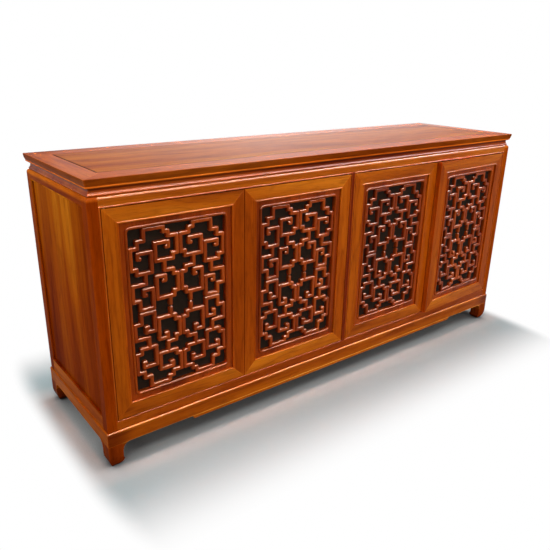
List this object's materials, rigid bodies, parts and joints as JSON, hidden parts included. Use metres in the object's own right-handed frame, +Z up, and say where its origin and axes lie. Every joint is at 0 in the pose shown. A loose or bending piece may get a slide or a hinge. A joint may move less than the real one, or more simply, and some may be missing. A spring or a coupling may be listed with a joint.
{
  "type": "sideboard",
  "caption": "Long low rosewood sideboard with fretwork doors, a hollow waist under the framed top, and a bracket base on hoof feet.",
  "frame": {"origin": "centre of the footprint, on the floor under the feet", "axes": "+Z up, -Y towards the viewer (the doors' side), +X to the viewer's right along the length"},
  "size_m": [1.83, 0.5009, 0.838],
  "materials": {
    "rosewood": "polished rosewood, red brown with darker streaks",
    "top_frame": "polished rosewood, lighter where light falls on it",
    "top_panel": "polished rosewood board with flowing grain",
    "end_panel": "polished rosewood board with flowing grain",
    "fretwork": "polished rosewood, rounded bars",
    "interior_wood": "satin brown stain",
    "back_wood": "satin brown stain",
    "backing": "matt black stain",
    "brass": "satin",
    "catch_body": "matt"
  },
  "bodies": {
    "carcase": {"top_front_rail": "top_frame", "top_back_rail": "top_frame", "top_end_rails": "top_frame", "top_panel": "top_panel", "top_battens": "interior_wood", "waist_moulding": "rosewood", "front_left_post": "rosewood", "front_right_post": "rosewood", "back_left_post": "rosewood", "back_right_post": "rosewood", "front_top_rail": "rosewood", "front_sill": "rosewood", "centre_mullion": "rosewood", "left_end_rails": "rosewood", "right_end_rails": "rosewood", "left_end_panel": "end_panel", "right_end_panel": "end_panel", "back_rails": "back_wood", "back_stile": "back_wood", "back_panels": "back_wood", "floor_board": "interior_wood", "partition": "interior_wood", "left_shelf": "interior_wood", "right_shelf": "interior_wood", "shelf_cleats": "interior_wood", "left_opening_bead": "rosewood", "right_opening_bead": "rosewood", "door_catches": "catch_body", "front_apron": "rosewood", "back_apron": "back_wood", "left_apron": "rosewood", "right_apron": "rosewood", "front_left_foot": "rosewood", "front_right_foot": "rosewood", "back_left_foot": "rosewood", "back_right_foot": "rosewood"},
    "door_1": {"door_1_stiles": "rosewood", "door_1_rails": "rosewood", "door_1_inner_frame": "rosewood", "door_1_fretwork": "fretwork", "door_1_backing": "backing", "door_1_hardware": "brass"},
    "door_2": {"door_2_stiles": "rosewood", "door_2_rails": "rosewood", "door_2_inner_frame": "rosewood", "door_2_fretwork": "fretwork", "door_2_backing": "backing", "door_2_hardware": "brass"},
    "door_3": {"door_3_stiles": "rosewood", "door_3_rails": "rosewood", "door_3_inner_frame": "rosewood", "door_3_fretwork": "fretwork", "door_3_backing": "backing", "door_3_hardware": "brass"},
    "door_4": {"door_4_stiles": "rosewood", "door_4_rails": "rosewood", "door_4_inner_frame": "rosewood", "door_4_fretwork": "fretwork", "door_4_backing": "backing", "door_4_hardware": "brass"}
  },
  "joints": [
    {"name": "door_1_hinge", "type": "hinge", "parent": "carcase", "child": "door_1", "pos_m": [-0.867, -0.234, 0.455], "axis": [0, 0, -1], "range_deg": [0, 110]},
    {"name": "door_2_hinge", "type": "hinge", "parent": "carcase", "child": "door_2", "pos_m": [-0.0205, -0.234, 0.455], "axis": [0, 0, 1], "range_deg": [0, 90]},
    {"name": "door_3_hinge", "type": "hinge", "parent": "carcase", "child": "door_3", "pos_m": [0.0205, -0.234, 0.455], "axis": [0, 0, -1], "range_deg": [0, 90]},
    {"name": "door_4_hinge", "type": "hinge", "parent": "carcase", "child": "door_4", "pos_m": [0.867, -0.234, 0.455], "axis": [0, 0, 1], "range_deg": [-2.5, 107.5]}
  ]
}
